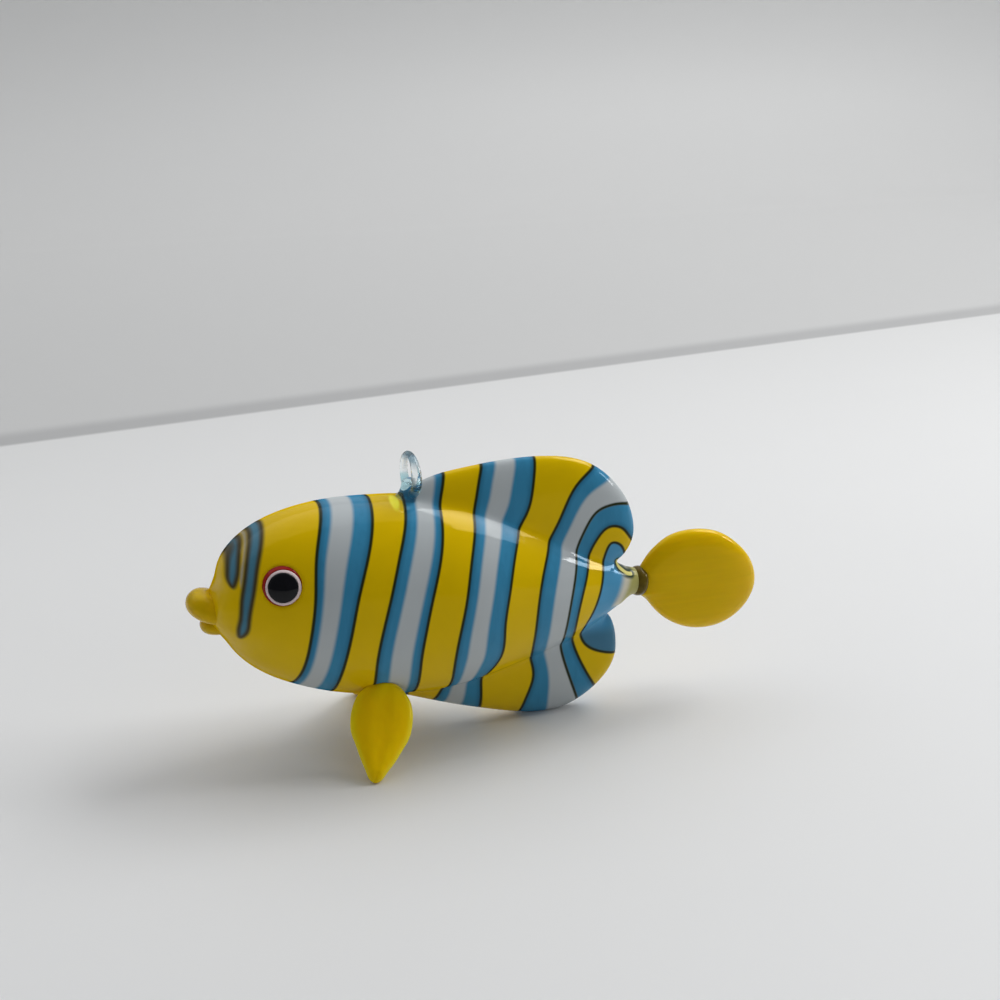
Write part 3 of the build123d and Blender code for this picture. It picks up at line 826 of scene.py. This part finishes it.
for node, points in fin_lines.items():
    line = smooth_line(points, fin_rings)
    runs = np.gradient(line, axis=0)
    places = []
    for place, run, width, thickness in zip(line, runs, widths, thicknesses):
        run = run / np.linalg.norm(run)
        wide = np.array([1, 0, 0]) - run[0] * run
        wide = wide / np.linalg.norm(wide)
        over = np.cross(run, wide)
        for turn in around:
            out, off = math.cos(turn), math.sin(turn)
            groove = fin_groove_share * math.exp(-(out / fin_groove_reach_share) ** 2)
            bulge = math.copysign(abs(off) ** 1.1, off) * (1 - groove)
            places.append(place + width * out * wide + thickness * bulge * over)
    places = np.array(places)
    places[:, 2] = np.maximum(places[:, 2], 0)
    item = add_mesh(f"melted_{node}", places, tube_faces(fin_rings, fin_turns))
    record_value(item, "rim", np.tile(np.abs(np.cos(around)), fin_rings))
    dress(item, fin_finish, "yellow_glass", node)

# End of the stalk: a small clear bead of glass closes the hollow from inside, and a thin ring of dark
# olive glass is wound on hot, where the tail is melted to the stalk.
bead_colour = (0.55, 0.50, 0.25)
collar_colour = (0.17, 0.120, 0.016)
collar_radius = 0.00214
collar_half_depth = 0.00082
collar_half_width = 0.00130
collar_turns = 72
collar_rolls = 24
bead_finish, shader = melted_glass("bead_glass", bead_colour, 0.7, 0.001)
for material_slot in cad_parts["stalk_bead"].material_slots:
    material_slot.material = bead_finish
collar_finish, shader = melted_glass("dark_ring", collar_colour, 0.4, 0.0008)
places = []
middle = from_body(collar_along, 0, collar_up)
for turn in np.linspace(0, 2 * math.pi, collar_turns, endpoint=False):
    out = math.sin(turn) * lift_way + math.cos(turn) * sideways
    for roll in np.linspace(0, 2 * math.pi, collar_rolls, endpoint=False):
        places.append(middle + (collar_radius + collar_half_depth * math.cos(roll)) * out
                      + collar_half_width * math.sin(roll) * axis_way)
item = add_mesh("melted_collar", places, hoop_faces(collar_turns, collar_rolls))
dress(item, collar_finish, "olive_glass", "tail_collar")

# Tail: a gather of yellow glass pressed into a round paddle in flat tongs. Its rim is thick and
# rounded, and fine streaks run along it from the stalk.
tail_length = 0.025
tail_height = 0.0209
tail_half_thickness = 0.0023
tail_sink = 0.0006
root_radius = 0.0026
root_reach_share = 0.45
tip_thinning = 0.0006
tip_start_share = 0.55
tip_up_share = 0.070
centre_shares = (0.46, 0.12)
flatness = 4.5
roundness = 2.1
tail_rings = 60
tail_turns = 208
closing_turns = 12
same_place = 0.000002
tail_colour = (0.84, 0.555, 0.002)
tail_shares = [
    (0.044, 0.170, 0.225), (0.104, 0.180, 0.300), (0.183, 0.174, 0.384), (0.303, 0.154, 0.458),
    (0.462, 0.131, 0.500), (0.622, 0.111, 0.486), (0.781, 0.087, 0.406), (0.900, 0.077, 0.289),
    (0.968, 0.073, 0.165),
]
tail_start = body_length + collar_length
top = [(tail_start + a * tail_length, (m + r) * tail_height) for a, m, r in tail_shares]
bottom = [(tail_start + a * tail_length, (m - r) * tail_height) for a, m, r in tail_shares]
rim = [(tail_start - tail_sink, collar_up + root_radius), *top,
       (tail_start + tail_length, tip_up_share * tail_height),
       *reversed(bottom), (tail_start - tail_sink, collar_up - root_radius)]
rim = smooth_line(rim, tail_turns)
closing = np.linspace(rim[-1], rim[0], closing_turns + 2)[1:-1]
rim = np.concatenate([rim, closing])
centre = np.array([tail_start + centre_shares[0] * tail_length, centre_shares[1] * tail_height])
steps = [(-1, step) for step in range(tail_rings)] + [(1, step) for step in reversed(range(tail_rings))]
places = []
for side, step in steps:
    share = math.sin(math.pi / 2 * step / (tail_rings - 1))
    edge = (1 - min(share, 1) ** flatness) ** (1 / roundness)
    for place in rim:
        at = centre + share * (place - centre)
        gone = (at[0] - tail_start) / tail_length
        near_root = min(max(gone / root_reach_share, 0), 1)
        near_tip = min(max(gone - tip_start_share, 0) / (1 - tip_start_share), 1)
        half = root_radius + (tail_half_thickness - root_radius) * math.sin(math.pi / 2 * near_root)
        half -= tip_thinning * near_tip**2
        places.append(from_body(at[0], side * half * edge, at[1]))
tail_finish, shader = melted_glass("paddle_yellow", tail_colour, 0.84, 0.0009, (18, 3, 1), waves=0.00003)
let_light_in(shader, 0.0030)
item = add_mesh("melted_tail", places, tube_faces(2 * tail_rings, len(rim)))
weld = bmesh.new()
weld.from_mesh(item.data)
bmesh.ops.remove_doubles(weld, verts=weld.verts, dist=same_place)
bmesh.ops.recalc_face_normals(weld, faces=weld.faces)
weld.to_mesh(item.data)
weld.free()
dress(item, tail_finish, "yellow_glass", "tail_fin")
